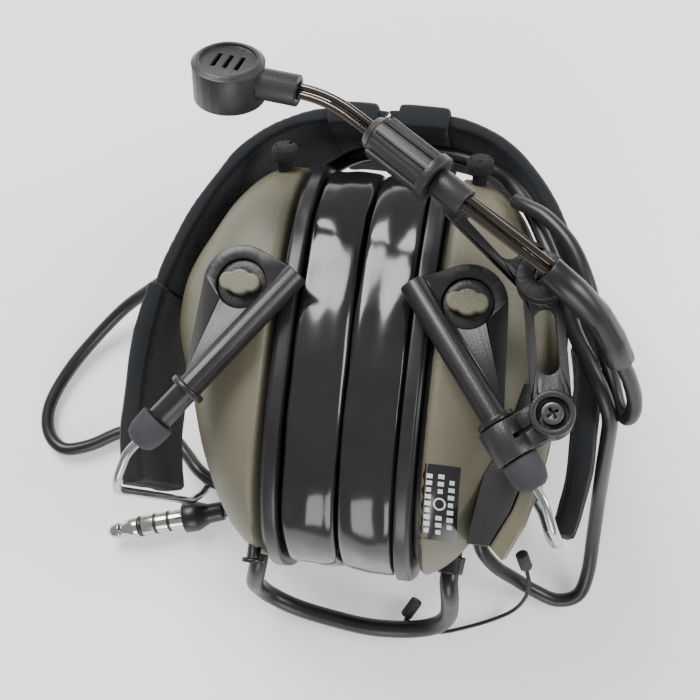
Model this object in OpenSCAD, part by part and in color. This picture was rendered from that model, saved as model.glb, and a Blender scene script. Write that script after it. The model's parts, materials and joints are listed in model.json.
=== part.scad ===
// Folded radio headset: two ear cups face to face inside a sprung headband,
// four wire guides, a jointed microphone arm and the leads that go with it.
// X runs across the head, Y up towards the crown, Z out of the front.
// The headset lies on the rear guides, and Z = 0 is the surface under it.

/* [Ear cups] */
// Height of a cup's rim
cup_h = 114; // [95:1:137]
// Depth of a cup's rim, front to rear
cup_d = 78; // [65:1:94]
// Distance from the seam to the bulge of a shell
cup_w = 55; // [46:1:66]
// Wall of a shell
wall = 2.4; // [1.6:0.2:3.2]
// Thickness of a rim ring
rim_w = 4.5; // [3:0.5:6]
// Thickness of an ear cushion
cushion_t = 15.2; // [11:0.2:18]
// Half of the gap between the two cushions
seam_gap = 0.2; // [0.15:0.05:1]
// Half height of the hole that the ear goes in
ear_h = 31; // [26:1:36]
// Half depth of the hole that the ear goes in
ear_d = 20; // [17:1:24]

/* [Wire guides] */
// Radius of a guide's tube
tube_r = 3.3; // [2.6:0.1:4]
// Radius of the hole that a cup turns in
pivot_r = 6.5; // [5:0.1:7]
// Radius of the plate around that hole
plate_r = 10; // [9:0.5:12]
// Thickness of the plate
plate_t = 2.6; // [2:0.2:3]
// Distance from the pivot to the tube's axis
tube_offset = 9.2; // [9:0.1:11]
// Distance from the pivot to the tube's closed end, along the tube
tube_back = 11.6; // [10:0.2:14]
// Distance from the pivot to the collar, along the tube
collar_at = 27.9; // [24:0.2:31]
// Length of tube between the collar and its rubber cap
clamp_span = 11.5; // [11.5:0.5:16]
// Length of a rubber cap
cap_len = 8; // [7:0.5:12]
// Radius of a rubber cap
cap_r = 4.8; // [4.2:0.1:5.4]
// Radius of the spring wire
wire_r = 1.2; // [1:0.1:1.5]

/* [Headband] */
// Width of the band, front to rear
band_w = 40; // [34:1:44]
// Thickness of the band
band_t = 4.2; // [3.4:0.2:5]
// Thickness of the sleeve on each end
sleeve_t = 7; // [6.4:0.2:8]
// Clearance between a cup's rim and the band at the crown
crown_gap = 9.8; // [8:0.2:16]
// Clearance between a cup's bulge and an end sleeve
side_gap = 2.2; // [2:0.1:4]

/* [Microphone arm] */
// Length of the lower link, screw to elbow
lower_len = 32; // [26:1:38]
// Thickness of the lower link
lower_t = 4.6; // [3.6:0.2:5.4]
// Thickness of the upper link
upper_t = 4; // [3.2:0.2:5]
// Radius of the elbow
elbow_r = 6; // [5:0.2:7]
// Length of boom held between the elbow and the collet's nose
boom_len = 53.7; // [48:0.5:62]
// Radius of one boom rod
rod_r = 0.95; // [0.7:0.05:1]
// Radius of the microphone head
mic_r = 9; // [7:0.5:11]
// Height of the microphone head
mic_h = 10.5; // [8:0.5:13]

/* [Leads] */
// Diameter of the lead between the cups
link_d = 5.4; // [4:0.2:6]
// Diameter of the lead to the plug
lead_d = 4.2; // [3.4:0.2:4.6]
// Diameter of the microphone's lead
mic_lead_d = 4; // [3:0.2:4.4]
// Diameter of the tether
tether_d = 1.2; // [1:0.1:1.6]

/* [Hidden] */
$fn = 48;

OLIVE = [0.42, 0.41, 0.31];
BLACK = [0.10, 0.10, 0.11];
SATIN = [0.22, 0.21, 0.22];
CLOTH = [0.07, 0.09, 0.11];
STEEL = [0.70, 0.70, 0.72];

// Clearances
run_gap = 0.08;    // round piece that turns or slides in its hole
part_gap = 0.3;    // faces of different bodies that pass each other
seat_gap = 0.05;   // piece fixed in its pocket
rim_clear = 0.9;   // rim to the guide tubes in front of it

// Heights
guide_off = cup_d / 2 + rim_clear + tube_r;
z_mid = cap_r + guide_off;
plate_low = guide_off - 3;
plate_high = plate_low + plate_t;

// The cups' middle, the rim faces and the pivots
cup_y = -8;
rim_in = cushion_t;
rim_out = cushion_t + rim_w;
pivot_x = rim_out + 9.3;
pivot_y = cup_y + 13.5;
guide_angle = 53.13;
cap_at = collar_at + clamp_span;
cap_end = cap_at + cap_len;
tube_end = cap_at + 3.6;
stroke = 3;

// Shell outline: share of the way from rim to bulge, then the top, bottom
// and half depth as shares of the rim's half sizes
SHELL = [
    [0.00, 0.985, -0.985, 0.970], [0.17, 0.985, -0.940, 0.975], [0.31, 0.965, -0.860, 0.955],
    [0.44, 0.905, -0.740, 0.925], [0.58, 0.800, -0.560, 0.860], [0.69, 0.665, -0.340, 0.770],
    [0.81, 0.540, -0.170, 0.640], [0.89, 0.450, -0.060, 0.510], [0.96, 0.340, 0.040, 0.330],
    [1.00, 0.240, 0.120, 0.120]
];
SIDES = 36;

// Band centre line: crown, shoulder, side, straight, hem
shoulder_r = 38;
shoulder_turn = 56;
side_r = 103;
end_r = 78;
end_turn = 17;
hem_rise = 40;
rest_turn = 90 - shoulder_turn;
side_x = cup_w + side_gap + sleeve_t / 2;
crown_y = cup_y + cup_h / 2 + crown_gap + band_t / 2;
flat = side_x - shoulder_r * cos(rest_turn) - side_r * (1 - cos(rest_turn));
shoulder_end = [flat + shoulder_r * cos(rest_turn), crown_y - shoulder_r * (1 - sin(rest_turn))];
side_mid = shoulder_end - side_r * [cos(rest_turn), sin(rest_turn)];
straight_low = cup_y - cup_h / 2 + hem_rise;
hem = [side_x - end_r * (1 - cos(end_turn)), straight_low - end_r * sin(end_turn)];
loop_at = hem + [-0.6, -2.4];
loop_r = 3.6;
wire_z = band_w / 2 - 6;

// Microphone arm, from the clamp outwards
screw_local = [collar_at + 6.8, 2.8];
function turned(p, a) = [p[0] * cos(a) - p[1] * sin(a), p[0] * sin(a) + p[1] * cos(a)];
screw_at = [pivot_x, pivot_y] + turned(screw_local, -guide_angle);
lower_angle = 100;
elbow_at = screw_at + lower_len * [cos(lower_angle), sin(lower_angle)];
guide_z = z_mid + guide_off;
lower_low = guide_z + tube_r + 0.5;
lower_high = lower_low + lower_t;
upper_low = lower_high + part_gap;
upper_high = upper_low + upper_t;
boom_angle = 146.2;
boom_start = [elbow_at[0] + 1.4, elbow_at[1] + 0.5];
nut_r = 6.2;
boom_z = upper_high + nut_r + 0.4;
body_from = boom_len - 29.2;
flange_from = boom_len - 20.1;
boom_straight = boom_len + 6.3;
boom_bend_r = 33;
boom_bend = 26;
rod_gap = rod_r + 0.1;
grip_r = 3.7;
thread_r = 3;
throat_r = 2.2;

// Routes of the leads, laid by hand
LINK_ROUTE = [
    [-28, -61.6, 33], [-28, -64.4, 33], [-28.8, -68, 30.4], [-30.4, -71.6, 24], [-30.8, -73.4, 16],
    [-28, -76, 10], [-20, -79, 6], [-8, -81, 5], [4, -82, 5], [16, -81, 5.4], [24, -78.5, 8.6],
    [27.6, -75, 15], [28.4, -71, 24], [28.4, -67.8, 30.4], [28, -64.4, 33], [28, -61.6, 33]
];
LEAD_ROUTE = [
    [35, -48.7, 22], [35, -51.6, 22], [36.4, -55, 19.6], [40.4, -58.8, 14.6], [46, -61.6, 9],
    [52.5, -64.6, 5], [59.5, -66.6, 3], [65.6, -64.2, 3.4], [67.8, -57, 7], [68, -46.6, 15.6],
    [67.8, -36, 30], [67.4, -28, 48], [67.2, -21.6, 61.6], [66.8, -17, 69.4], [64.4, -11.6, 74],
    [60.4, -4.6, 75.8],
    [55.6, 4, 75.6], [52, 14, 75.4], [47.6, 24, 74], [42.4, 34.6, 70.6], [37, 43, 66.4],
    [29.6, 50.2, 60], [17, 54.2, 58], [3, 55.2, 56], [-9, 54.8, 51], [-18.4, 53.2, 42],
    [-25.4, 50.8, 32.4], [-31.6, 47.6, 25.6], [-38, 43.4, 23], [-45, 38, 22.4], [-52.4, 32.8, 21.8],
    [-60.4, 27.8, 20.8], [-69.4, 22.8, 18.4], [-79, 17, 14.4], [-89.6, 10.4, 9], [-100, 0, 4.6],
    [-108.4, -12, 3], [-113, -24, 3], [-112, -33, 3], [-106, -38, 3], [-97, -36, 3], [-87, -30.6, 3],
    [-77, -28, 3], [-69, -30.4, 3.4], [-62.6, -35.4, 5.8], [-57, -40.2, 8.8], [-50.4, -43.6, 9],
    [-42.6, -42.8, 6.6], [-35, -39.8, 4.8], [-27.8, -39.6, 4.4], [-22.2, -43, 4.4], [-20.8, -49, 4.4],
    [-24.4, -54.2, 4.6], [-30.8, -55.4, 4.8], [-36.6, -52.8, 5], [-41, -50.9, 5], [-45.4, -51.2, 5],
    [-47.7, -51.9, 5]
];
MIC_ROUTE = [
    [67.2, -5.3, 89.6], [69.8, -8.4, 84], [71.8, -11.4, 77.4], [72.2, -14.6, 71.4], [70.4, -14.8, 68.4],
    [68, -11, 69.8], [65, -3, 73.4], [61, 6, 80], [57.4, 16, 82], [52.6, 25, 81.4], [46, 32, 79],
    [40.4, 35.6, 76], [37.6, 37.6, 73.4]
];
TAIL_ROUTE = [[48, 11, 110], [54, 7, 108], [60, 3, 102], [64, -1, 96], [67, -5, 90]];
TETHER_ROUTE = [
    [49.6, -58.8, 14.6], [50.6, -62.4, 13], [50, -66.6, 9.6], [47, -71, 4.4], [41.6, -74.6, 1],
    [34, -78, 1], [25, -81, 1],
    [18, -80.4, 1], [13.6, -78.2, 2.6]
];

function spow(v, p) = sign(v) * pow(abs(v), p);
function lerp(a, b, t) = a + (b - a) * t;
function oval(half_y, half_z, k) = [
    for (i = [0:k - 1]) let (t = 360 * i / k)
        [half_y * spow(cos(t), 0.8), half_z * spow(sin(t), 0.8)]
];

// Closed skin over rings of k points that follow each other
function skin_faces(rings, k) = concat(
    [[for (i = [0:k - 1]) i]],
    [for (j = [0:rings - 2], i = [0:k - 1])
        [j * k + i, (j + 1) * k + i, (j + 1) * k + (i + 1) % k]],
    [for (j = [0:rings - 2], i = [0:k - 1])
        [j * k + i, (j + 1) * k + (i + 1) % k, j * k + (i + 1) % k]],
    [[for (i = [k - 1:-1:0]) (rings - 1) * k + i]]
);

// Cup body between the rim and the bulge, drawn inwards by inset
module cup_body(inset = 0, reach = 0) {
    pts = [for (j = [0:len(SHELL) - 1]) let (
            s = SHELL[j],
            x = lerp(rim_out, cup_w - inset, s[0]) - (j == 0 ? reach : 0),
            top = s[1] * cup_h / 2 - inset,
            low = s[2] * cup_h / 2 + inset,
            o = oval((top - low) / 2, s[3] * cup_d / 2 - inset, SIDES))
        each [for (p = o) [x, cup_y + (top + low) / 2 + p[0], z_mid + p[1]]]];
    polyhedron(pts, skin_faces(len(SHELL), SIDES));
}

// Rings of a tube: one at each point of the route, square to it
function tube_dir(route, i) = let (
    a = route[max(i - 1, 0)], b = route[min(i + 1, len(route) - 1)], d = b - a) d / norm(d);
function tube_ring(p, d, r, k) = let (
    u0 = cross(d, [0.13, 0.21, 0.97]), u = u0 / norm(u0), v = cross(d, u))
    [for (i = [0:k - 1]) p + r * (cos(360 * i / k) * u + sin(360 * i / k) * v)];
module lead(route, radius, k = 8) {
    n = len(route);
    polyhedron([for (i = [0:n - 1]) each tube_ring(route[i], tube_dir(route, i), radius, k)],
        skin_faces(n, k));
}

// Round bar between two points
module bar(a, b, r) {
    d = b - a;
    translate(a)
        rotate([0, acos(d[2] / norm(d)), atan2(d[1], d[0])]) cylinder(r = r, h = norm(d));
}
// Route with each of its corners cut back to a short curve
function corner(a, p, b, c) = let (
    m = p - c * (p - a) / norm(p - a), n = p + c * (b - p) / norm(b - p))
    [m, (m + 2 * p + n) / 4, n];
function rounded(route, c) = concat(
    [route[0]],
    [for (i = [1:len(route) - 2]) each corner(route[i - 1], route[i], route[i + 1], c)],
    [route[len(route) - 1]]
);

// A side of the headset: everything is drawn for +X
module side(s) {
    if (s < 0) mirror([1, 0, 0]) children();
    else children();
}
module rear() {
    translate([0, 0, z_mid]) mirror([0, 0, 1]) translate([0, 0, -z_mid]) children();
}
module both() {
    children();
    rear() children();
}

// Plate in the Y-Z plane from x0, thick t
module slab(x0, t) {
    translate([x0, cup_y, z_mid]) rotate([90, 0, 90]) linear_extrude(t) children();
}

module cup_shell(s) {
    side(s) difference() {
        cup_body();
        difference() {
            cup_body(wall, 1);
            // bosses that the pivot seats and the glands stand in
            both() translate([pivot_x, pivot_y, z_mid + plate_low - 7]) cylinder(r = pivot_r + 2, h = 9);
        }
        both() translate([pivot_x, pivot_y, z_mid + plate_low - 8])
            cylinder(r = pivot_r + seat_gap, h = 16);
        translate(foam_at) rotate(foam_tilt) translate([0, 0, -14]) cylinder(r = 2 + seat_gap, h = 20);
        gland_hole(gland_x, gland_z, link_end_y);
        if (s > 0) {
            gland_hole(lead_gland[0], lead_gland[1], lead_end_y);
            for (b = BUTTONS) translate([button_x, cup_y + b[0], 0])
                cylinder(r = button_r + part_gap, h = z_mid);
            translate([window[0], window[1], z_mid - window[3] / 2])
                cube([cup_w, window[2], window[3]]);
        } else {
            translate([jack_x, cup_y, jack_z]) rotate([90, 0, 0])
                cylinder(r = 1.8 + seat_gap, h = cup_h);
        }
    }
}
// Hole for a gland's neck, with a recess round its collar
module gland_hole(x, z, end) {
    translate([x, cup_y, z]) rotate([90, 0, 0]) cylinder(r = neck_r + 2 * seat_gap, h = cup_h);
    translate([x, end + collar_h + seat_gap, z]) rotate([90, 0, 0])
        cylinder(r = gland_r + seat_gap, h = cup_h);
}
neck_r = 2.95;
gland_r = 4.2;
collar_h = 5;
foam_at = [27, cup_y + 54, z_mid + 22];
foam_tilt = [-50, 0, 0];
gland_x = 28;
gland_z = 33;
lead_gland = [35, 22];
jack_x = 23.6;
jack_z = 60;
button_x = 25.8;
button_r = 3.8;
// Each button's place along the cup, and its face as a share of the half depth
BUTTONS = [[-13.5, 0.99], [-23.5, 0.949], [-33.5, 0.867]];
window = [33, cup_y - 38, 27, 46];

module left_shell() { color(OLIVE) cup_shell(-1); }
module right_shell() { color(OLIVE) cup_shell(1); }

module rim(s) {
    color(SATIN) side(s) slab(rim_in, rim_w - seat_gap) difference() {
        polygon(oval(cup_h / 2, cup_d / 2, 56));
        polygon(oval(ear_h + 2, ear_d + 2, 40));
    }
}
module left_rim() { rim(-1); }
module right_rim() { rim(1); }

// Plate across the mouth of a shell, with the sound holes
module baffle(s) {
    color(BLACK) side(s) slab(rim_out + seat_gap, 2) difference() {
        polygon(oval(cup_h / 2 - 6, cup_d / 2 - 6, 40));
        for (a = [0:60:300]) rotate(a) translate([10, 0]) circle(2.6, $fn = 24);
        circle(2.6, $fn = 24);
    }
}
module left_baffle() { baffle(-1); }
module right_baffle() { baffle(1); }

module driver(s) {
    color(BLACK) side(s) translate([rim_out + 2 + 2 * seat_gap, cup_y, z_mid]) rotate([0, 90, 0])
        difference() {
            union() {
                cylinder(r = 20, h = 3);
                cylinder(r = 12, h = 8);
            }
            translate([0, 0, -1]) cylinder(r = 14, h = 2.4);
        }
}
module left_driver() { driver(-1); }
module right_driver() { driver(1); }

module left_foam_liner() {
    color(BLACK) side(-1) translate([rim_out + 11, cup_y - 22, z_mid - 18]) cube([5, 46, 36]);
}

// Ear cushion: profile goes from the inner edge round to the outer edge and back
CUSHION = [
    [1, 0.04], [1, 0.96], [0.80, 1], [0.35, 1], [0.08, 0.95], [0, 0.84], [0, 0.22],
    [0.10, 0.06], [0.5, 0]
];
module cushion(s) {
    k = SIDES;
    n = len(CUSHION);
    pts = [for (i = [0:k - 1]) let (t = 360 * i / k)
        each [for (c = CUSHION) [
            lerp(seam_gap, cushion_t - seat_gap, c[0]),
            cup_y + lerp(ear_h, cup_h / 2 - 1, c[1]) * spow(cos(t), 0.8),
            z_mid + lerp(ear_d, cup_d / 2 - 1, c[1]) * spow(sin(t), 0.8)]]];
    faces = [for (i = [0:k - 1], j = [0:n - 1]) let (
            a = i * n + j, b = i * n + (j + 1) % n,
            c = ((i + 1) % k) * n + (j + 1) % n, d = ((i + 1) % k) * n + j)
        each [[a, d, c], [a, c, b]]];
    color(BLACK) side(s) polyhedron(pts, faces);
}
module left_cushion() { cushion(-1); }
module right_cushion() { cushion(1); }

// Black seats that turn in the guides' holes
seat_high = plate_high - 1;
module pivot_seats(s) {
    color(BLACK) side(s) both() translate([pivot_x, pivot_y, z_mid]) difference() {
        translate([0, 0, plate_low - 6]) cylinder(r = pivot_r - run_gap, h = seat_high - plate_low + 6);
        translate([0, 0, plate_low - 7]) cylinder(r = post_r + seat_gap, h = 20);
    }
}
post_r = 2.6;
module left_pivot_seats() { pivot_seats(-1); }
module right_pivot_seats() { pivot_seats(1); }

// Three-lobed wing knobs on their posts
knob_t = 3.2;
module knobs(s) {
    color(OLIVE) side(s) both() translate([pivot_x, pivot_y, z_mid]) {
        translate([0, 0, plate_low - 5]) cylinder(r = post_r, h = seat_high - plate_low + 5.5);
        translate([0, 0, seat_high + 0.1]) {
            cylinder(r = 3.3, h = knob_t);
            for (x = [-2.9, 2.9]) translate([x, 0, 0]) cylinder(r = 2.3, h = knob_t);
        }
    }
}
module left_knobs() { knobs(-1); }
module right_knobs() { knobs(1); }

// Foam-capped outside microphone on top of a cup
module foam_mic(s) {
    color(BLACK) side(s) translate(foam_at) rotate(foam_tilt) {
        translate([0, 0, -8]) cylinder(r = 2, h = 8);
        cylinder(r = 3.7, h = 3);
        translate([0, 0, 3]) cylinder(r1 = 3.7, r2 = 2.7, h = 1.2);
    }
}
module left_foam_mic() { foam_mic(-1); }
module right_foam_mic() { foam_mic(1); }

// Rubber gland that a lead leaves a shell through
module gland(x, z, end, d) {
    translate([x, end, z]) rotate([-90, 0, 0]) difference() {
        union() {
            cylinder(r1 = d / 2 + 0.9, r2 = gland_r, h = collar_h);
            translate([0, 0, collar_h - 0.1]) cylinder(r = neck_r, h = 12);
        }
        translate([0, 0, -1]) cylinder(r = d / 2 + 0.4, h = 2);
    }
}
link_end_y = -62;
lead_end_y = -49;
module left_lead_gland() { color(BLACK) side(-1) gland(gland_x, gland_z, link_end_y, link_d); }
module right_lead_glands() {
    color(BLACK) {
        gland(gland_x, gland_z, link_end_y, link_d);
        gland(lead_gland[0], lead_gland[1], lead_end_y, lead_d);
    }
}
module left_jack_cap() {
    color(BLACK) side(-1) translate([jack_x, cup_y - cup_h / 2 + 7, jack_z]) rotate([90, 0, 0]) {
        cylinder(r = 1.8, h = 7);
        translate([0, 0, 5.8]) cylinder(r = 3, h = 1.2);
    }
}

module circuit_board() {
    color("darkgreen") translate([rim_out + 12, cup_y - 4, z_mid - 17]) cube([1.6, 38, 34]);
}
cell_r = 5.2;
module battery_cells() {
    color(STEEL) for (p = [[36.5, cup_y - 17], [33.5, cup_y - 29]])
        translate([p[0], p[1], z_mid - 22.2]) cylinder(r = cell_r, h = 44.4);
}

// Battery compartment on the right cup, from a side outline
DOOR_IN = [[51.7, -3], [49.2, -14], [47.4, -25], [44.4, -35.5], [39.8, -45]];
DOOR_OUT = [[43.2, -48], [48, -37.8], [51, -26.5], [52.8, -15], [53.8, -4]];
SHELL_SIDE = [[40, -3], [34, -45]];
module at_side(half) {
    translate([cup_w - 55, cup_y, z_mid - half]) linear_extrude(2 * half) children();
}
module battery_housing() {
    color(BLACK) difference() {
        at_side(28) polygon(concat(SHELL_SIDE, [for (i = [4:-1:0]) DOOR_IN[i] - [part_gap, 0]]));
        cup_body(-seat_gap);
        translate([lead_gland[0], cup_y, lead_gland[1]]) rotate([90, 0, 0])
            cylinder(r = gland_r + part_gap, h = cup_h);
        translate([window[0], window[1], z_mid - window[3] / 2]) cube([cup_w, window[2], window[3]]);
    }
}
module battery_door() { color(OLIVE) at_side(27) polygon(concat(DOOR_IN, DOOR_OUT)); }

module button(i) {
    color(BLACK) translate([button_x, cup_y + BUTTONS[i][0], z_mid - cup_d / 2 * BUTTONS[i][1]]) {
        cylinder(r = button_r, h = 5);
        translate([0, 0, 4.2]) cylinder(r = button_r - 1.4, h = 1.6);
    }
}
module power_button() { button(0); }
module volume_up_button() { button(1); }
module volume_down_button() { button(2); }

// Guide frame: origin at the pivot, X along the tube towards the cap
module guide_frame() {
    translate([pivot_x, pivot_y, z_mid + guide_off]) rotate([0, 0, -guide_angle]) children();
}
module along(x) { translate([x, -tube_offset, 0]) rotate([0, 90, 0]) children(); }
module guide(s, at_front) {
    color(SATIN) side(s) flip(at_front) guide_frame() difference() {
        union() {
            translate([0, 0, plate_low - guide_off]) linear_extrude(plate_t) hull() {
                circle(plate_r);
                translate([-tube_back, -tube_offset]) square([tube_back + collar_at, tube_r - 0.6]);
            }
            along(-tube_back) cylinder(r = tube_r, h = tube_back + tube_end);
            along(collar_at) cylinder(r = tube_r + 1.5, h = 1.6);
        }
        translate([0, 0, -guide_off]) cylinder(r = pivot_r, h = 2 * guide_off);
        along(-tube_back + 3) cylinder(r = wire_r + run_gap, h = 80);
    }
}
module flip(at_front) {
    if (at_front) children();
    else rear() children();
}
module left_front_guide() { guide(-1, true); }
module left_rear_guide() { guide(-1, false); }
module right_front_guide() { guide(1, true); }
module right_rear_guide() { guide(1, false); }

module guide_caps(s) {
    color(BLACK) side(s) both() guide_frame() along(cap_at) difference() {
        rotate_extrude() polygon([
            [0, 0], [cap_r, 0], [cap_r - 0.2, cap_len * 0.6], [cap_r - 1, cap_len * 0.88],
            [cap_r - 2.4, cap_len], [0, cap_len]
        ]);
        translate([0, 0, -1]) cylinder(r = tube_r + seat_gap, h = tube_end - cap_at + 1.1);
        cylinder(r = wire_r + run_gap, h = 20);
    }
}
module left_guide_caps() { guide_caps(-1); }
module right_guide_caps() { guide_caps(1); }

// Wire stirrup: a leg in each guide, and the cross piece in the band's end
function guide_point(x) = [pivot_x, pivot_y] + turned([x, -tube_offset], -guide_angle);
leg_in = guide_point(-tube_back + 7);
leg_out = guide_point(cap_end + stroke + 0.8);
function leg(up) = [
    [leg_in[0], leg_in[1], z_mid + up * guide_off],
    [leg_out[0], leg_out[1], z_mid + up * guide_off],
    [lerp(leg_out[0], loop_at[0], 0.6), lerp(leg_out[1], loop_at[1], 0.7), z_mid + up * (guide_off - 3)],
    [loop_at[0], loop_at[1], z_mid + up * (guide_off - 9)]
];
module stirrup(s) {
    front = leg(1);
    back = leg(-1);
    route = [front[0], front[1], front[2], front[3], back[3], back[2], back[1], back[0]];
    color(STEEL) side(s) lead(rounded(route, 1.6), wire_r, 12);
}
module left_stirrup() { stirrup(-1); }
module right_stirrup() { stirrup(1); }

// Band: points along its centre line with the way out from it, crown to hem
STEP = 6;
function arc(mid, r, a0, a1) = let (n = max(1, round((a0 - a1) / STEP))) [
    for (i = [0:n]) let (a = lerp(a0, a1, i / n))
        [mid + r * [cos(a), sin(a)], [cos(a), sin(a)]]
];
function centre_line(x0, shorter = 0) = concat(
    [[[x0, crown_y], [0, 1]]],
    arc([flat, crown_y - shoulder_r], shoulder_r, 90, rest_turn),
    arc(side_mid, side_r, rest_turn - STEP, 0),
    arc([side_x - end_r, straight_low], end_r, 0, shorter - end_turn)
);
function ribbon(line, t, less) = concat(
    [for (p = line) p[0] + p[1] * t / 2],
    [for (i = [len(line) - 1:-1:0]) line[i][0] - line[i][1] * (t / 2 - less)]
);
module strip(line, t, w, less = 0) {
    translate([0, 0, z_mid - w / 2]) linear_extrude(w) polygon(ribbon(line, t, less));
}
knuckle_r = band_t / 2 + 0.5;
knuckle_w = band_w / 2 + 4;
pin_r = 1.1;
strip_t = 0.9;
strip_w = 3;
strip_from = knuckle_r + 2;
module strips(gap, shorter) {
    for (z = [-wire_z, wire_z]) translate([0, 0, z])
        strip(centre_line(strip_from - gap, shorter), strip_t + 2 * gap, strip_w + 2 * gap);
}
// Crown joint: two outer knuckles on the left half, one between them on the right
module knuckle(r, w) {
    translate([0, crown_y, z_mid - w / 2]) cylinder(r = r, h = w);
}
// Hole that the plug lead leaves the band through
lead_hole_d = 6.4;
module left_band() {
    color(CLOTH) difference() {
        union() {
            side(-1) strip(centre_line(0, 1), band_t, band_w);
            knuckle(knuckle_r, band_w);
        }
        translate([0, crown_y, z_mid - knuckle_w / 2])
            cylinder(r = knuckle_r + part_gap, h = knuckle_w);
        knuckle(pin_r + seat_gap, 2 * band_w);
        side(-1) strips(seat_gap, 1);
        translate([-63, 18, 52]) rotate([0, 90, 24]) cylinder(d = lead_hole_d, h = 18);
    }
}
module right_band() {
    color(CLOTH) difference() {
        union() {
            difference() {
                strip(centre_line(0.6, 1), band_t, band_w);
                both() translate([0, crown_y, z_mid + knuckle_w / 2 - part_gap])
                    cylinder(r = knuckle_r + part_gap, h = band_w);
            }
            knuckle(knuckle_r, knuckle_w - 2 * part_gap);
        }
        knuckle(pin_r + run_gap, 2 * band_w);
        strips(seat_gap, 1);
    }
}
module crown_pin() { color(STEEL) knuckle(pin_r, band_w - 1); }
module left_spring_strips() { color(STEEL) side(-1) strips(0, 1.2); }
module right_spring_strips() { color(STEEL) strips(0, 1.2); }

// Padded sleeve on a band's end, with the loop that holds the stirrup
sleeve_up = 12;
sleeve_line = concat(
    arc(side_mid, side_r, sleeve_up, 0),
    arc([side_x - end_r, straight_low], end_r, 0, -end_turn)
);
module sleeve_core() {
    strip(centre_line(0), band_t + 2 * seat_gap, band_w + 2 * seat_gap);
}
// The padding is thinner on the cup's side
sleeve_lean = 0.9;
module end_sleeve(s) {
    color(CLOTH) side(s) difference() {
        union() {
            strip(sleeve_line, sleeve_t, band_w + 3.4, sleeve_lean);
            translate([loop_at[0], loop_at[1], z_mid - band_w / 2]) cylinder(r = loop_r, h = band_w);
        }
        sleeve_core();
        translate([loop_at[0], loop_at[1], z_mid - band_w])
            cylinder(r = wire_r + part_gap, h = 2 * band_w);
    }
}
module left_end_sleeve() { end_sleeve(-1); }
module right_end_sleeve() { end_sleeve(1); }

// Cloth pad over the crown, in two halves that meet at the joint
pad_t = band_t + 3;
pad_line = concat(
    [[[knuckle_r + part_gap, crown_y], [0, 1]]],
    arc([flat, crown_y - shoulder_r], shoulder_r, 90, 84)
);
module crown_pad(s) {
    color(CLOTH) side(s) difference() {
        strip(pad_line, pad_t, band_w + 3);
        sleeve_core();
    }
}
module left_crown_pad() { crown_pad(-1); }
module right_crown_pad() { crown_pad(1); }

// Clamp that turns on the right front tube, with the slotted lower link
clamp_from = collar_at + 1.6 + part_gap;
clamp_to = cap_at - part_gap;
clamp_mid = (clamp_from + clamp_to) / 2;
clamp_r = tube_r + 2.3;
boss_r = 5.4;
module clamp_bracket() {
    color(BLACK) difference() {
        union() {
            guide_frame() {
                along(clamp_from) cylinder(r = clamp_r, h = clamp_to - clamp_from);
                translate([clamp_from, -tube_offset + 1, -4])
                    cube([clamp_to - clamp_from, tube_offset + screw_local[1] - 1, 7.4]);
                translate([screw_local[0], screw_local[1], -4.4])
                    cylinder(r = boss_r, h = lower_high - guide_z + 4.9);
            }
            link_body(screw_at, elbow_at, lower_low, lower_t, 4.7, 4.7);
            translate([elbow_at[0], elbow_at[1], lower_low - 0.3])
                cylinder(r = elbow_r, h = lower_t + 0.4);
        }
        guide_frame() {
            along(clamp_from - 1) cylinder(r = tube_r + run_gap, h = clamp_span + 4);
            translate([clamp_mid - 0.5, -tube_offset + 1.6, -7]) cube([1, tube_offset - 2.6, 14]);
            translate([screw_local[0], screw_local[1], -10]) cylinder(r = 1.5 + seat_gap, h = 30);
            translate([screw_local[0], screw_local[1], lower_high - guide_z - 2.2])
                cylinder(r = 3.9, h = 4);
        }
        link_slot(screw_at, elbow_at, lower_low, 0.36, 0.72, 2.5, 2.5);
        translate([elbow_at[0], elbow_at[1], 0]) cylinder(r = 2 + run_gap, h = 200);
    }
}
// Flat link between two points, with its half widths at the ends
module link_body(a, b, z, t, ra, rb) {
    d = b - a;
    translate([a[0], a[1], z]) rotate([0, 0, atan2(d[1], d[0])])
        linear_extrude(t) polygon([[0, -ra], [norm(d), -rb], [norm(d), rb], [0, ra]]);
}
// Slot along a link, with faceted round ends
function slot_end(x, r, a0) = [for (a = [a0:30:a0 + 180]) [x + r * cos(a), r * sin(a)]];
module link_slot(a, b, z, from, to, ra, rb) {
    d = b - a;
    l = norm(d);
    translate([a[0], a[1], z - 1]) rotate([0, 0, atan2(d[1], d[0])])
        linear_extrude(12) polygon(concat(slot_end(l * from, ra, 90), slot_end(l * to, rb, -90)));
}
module clamp_screw() {
    color(STEEL) guide_frame() translate([screw_local[0], screw_local[1], 0]) difference() {
        union() {
            translate([0, 0, -4.4]) cylinder(r = 1.5, h = lower_high - guide_z + 2.4);
            translate([0, 0, lower_high - guide_z - 2.1]) cylinder(r = 2.7, h = 1.5);
        }
        translate([0, 0, lower_high - guide_z - 1.2]) {
            cube([3, 0.7, 2], center = true);
            cube([0.7, 3, 2], center = true);
        }
    }
}
module elbow_rivet() {
    color(BLACK) translate([elbow_at[0], elbow_at[1], lower_low - 1.2]) {
        cylinder(r = 2, h = lower_t + upper_t + 1.8);
        cylinder(r = 3.4, h = 0.9);
    }
}

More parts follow.
